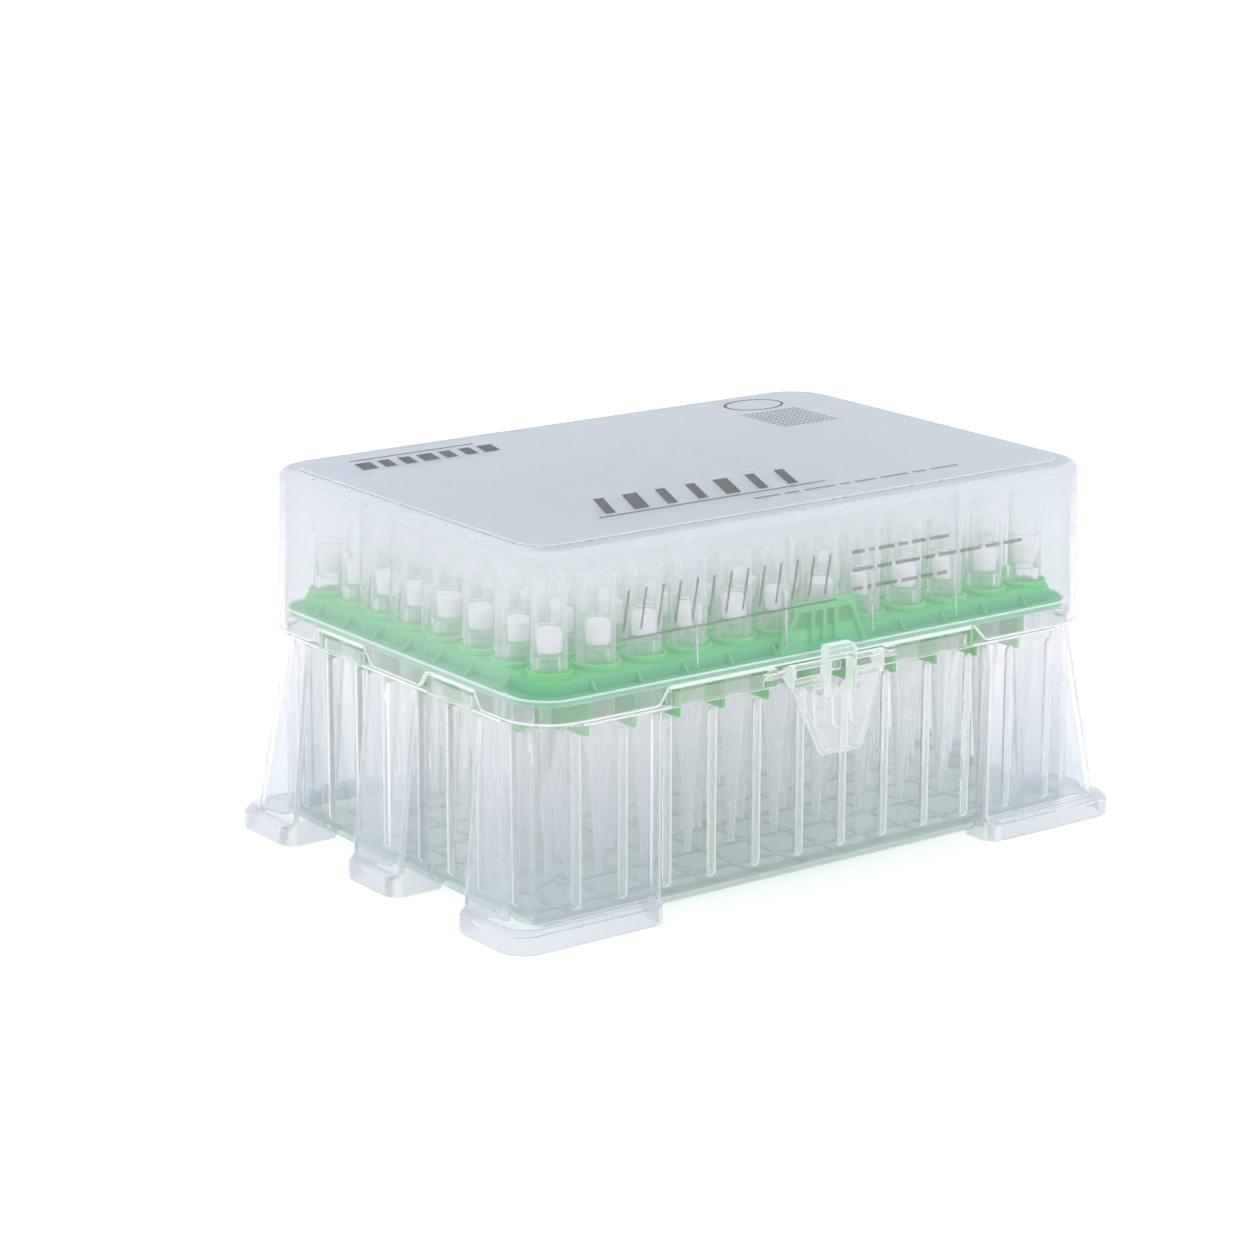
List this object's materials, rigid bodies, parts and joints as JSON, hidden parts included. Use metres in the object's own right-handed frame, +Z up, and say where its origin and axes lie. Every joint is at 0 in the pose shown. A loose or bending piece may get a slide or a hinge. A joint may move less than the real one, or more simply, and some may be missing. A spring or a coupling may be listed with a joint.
{
  "type": "box of pipette tips",
  "caption": "Clear hinged box with a front latch and a green deck that holds a grid of filtered pipette tips on six flared feet.",
  "frame": {"origin": "middle of the footprint on the bench, below the centre of the tip grid", "axes": "+X along the long side to the right as seen from the front, +Y from the latch towards the hinge, +Z up"},
  "size_m": [0.1278, 0.0876, 0.0632],
  "materials": {
    "clear_case": "clear polypropylene, glossy with a faint haze",
    "green_deck": "opaque green polypropylene, satin",
    "clear_tip": "clear virgin polypropylene",
    "filter_white": "sintered porous polyethylene, matte white"
  },
  "bodies": {
    "base": {"base": "clear_case", "tip_deck": "green_deck", "tips_row_a": "clear_tip", "tips_row_b": "clear_tip", "tips_row_c": "clear_tip", "tips_row_d": "clear_tip", "tips_row_e": "clear_tip", "tips_row_f": "clear_tip", "tips_row_g": "clear_tip", "tips_row_h": "clear_tip", "filters_row_a": "filter_white", "filters_row_b": "filter_white", "filters_row_c": "filter_white", "filters_row_d": "filter_white", "filters_row_e": "filter_white", "filters_row_f": "filter_white", "filters_row_g": "filter_white", "filters_row_h": "filter_white"},
    "lid": {"lid": "clear_case"},
    "latch": {"latch": "clear_case"}
  },
  "joints": [
    {"name": "lid_hinge", "type": "hinge", "parent": "base", "child": "lid", "pos_m": [0, 0.0421, 0.0366], "axis": [-1, 0, 0], "range_deg": [0, 110]},
    {"name": "latch_hinge", "type": "hinge", "parent": "base", "child": "latch", "pos_m": [0, -0.0401, 0.0367], "axis": [1, 0, 0], "range_deg": [0, 15], "stiffness_Nm_per_rad": 0.05}
  ]
}
